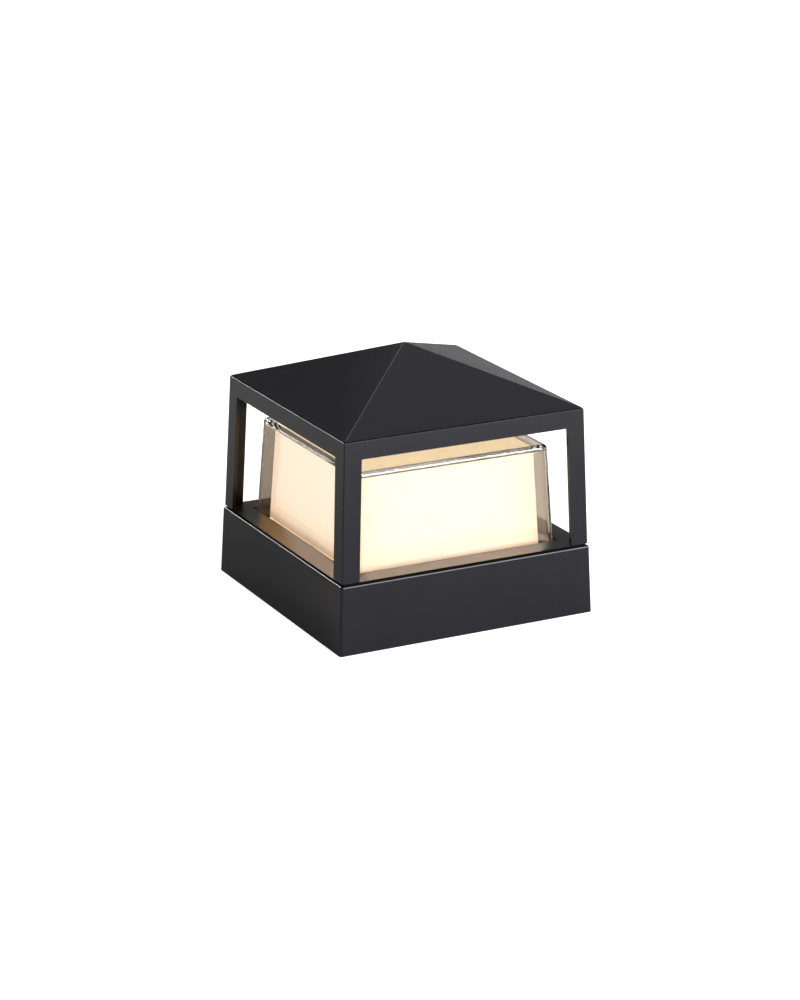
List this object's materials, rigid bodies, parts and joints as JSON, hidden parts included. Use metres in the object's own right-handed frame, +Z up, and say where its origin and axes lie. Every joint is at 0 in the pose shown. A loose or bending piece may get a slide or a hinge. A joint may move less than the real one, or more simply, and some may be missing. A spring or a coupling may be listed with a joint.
{
  "type": "deck post cap light",
  "caption": "Square post cap light with a low pyramid roof on a four-legged frame, a clear cover over a lit opal diffuser, and a skirt that sleeves the post.",
  "frame": {"origin": "centre of the skirt's foot, on the surface that it stands on", "axes": "+Z up to the roof's apex; the pictured faces are -X and -Y; the side screws are on +X and +Y"},
  "size_m": [0.2, 0.2, 0.1866],
  "materials": {
    "powder_coat": "satin charcoal powder coat",
    "aluminium_plate": "bare sheet",
    "steel": "stainless",
    "rubber": "matt black",
    "clear_cover": "clear, slightly smoky, polished",
    "opal": "opal, lit warm white from inside",
    "heat_pad": "grey-blue gap pad",
    "board_white": "white solder mask",
    "lamp_chip": "yellow phosphor",
    "driver_plastic": "moulded",
    "terminal_plastic": "moulded nylon",
    "brass": "plated",
    "red_lead": "insulated wire",
    "blue_lead": "insulated wire",
    "green_lead": "insulated wire"
  },
  "bodies": {
    "base": {"base_skirt": "powder_coat", "mounting_plate": "aluminium_plate", "plate_screws": "steel", "cable_bush": "rubber", "seat_seal": "rubber"},
    "right_screw": {"side_screw_right": "steel"},
    "back_screw": {"side_screw_back": "steel"},
    "head": {"head_frame": "powder_coat", "roof_cap": "powder_coat", "gear_tray": "aluminium_plate", "roof_screws": "steel", "diffuser_screws": "steel", "tray_screws": "steel", "led_board_screws": "steel", "driver_screws": "steel", "terminal_fixing_screws": "steel", "earth_washer": "steel", "earth_nut": "steel", "glass_seal_upper": "rubber", "glass_seal_lower": "rubber", "lead_grommet": "rubber", "glass_cover": "clear_cover", "opal_diffuser": "opal", "heat_pad": "heat_pad", "led_board": "board_white", "led_connector": "board_white", "led_chips": "lamp_chip", "driver_case": "driver_plastic", "driver_lid": "driver_plastic", "terminal_block": "terminal_plastic", "terminal_clamp_screws": "brass", "earth_stud": "brass", "led_leads": "red_lead", "supply_leads": "blue_lead", "earth_lead": "green_lead"}
  },
  "joints": [
    {"name": "head_lift", "type": "slide", "parent": "base", "child": "head", "axis": [0, 0, 1], "range_m": [0, 0.06]},
    {"name": "side_screw_right_out", "type": "slide", "parent": "base", "child": "right_screw", "axis": [1, 0, 0], "range_m": [0, 0.004]},
    {"name": "side_screw_back_out", "type": "slide", "parent": "base", "child": "back_screw", "axis": [0, 1, 0], "range_m": [0, 0.004]}
  ]
}
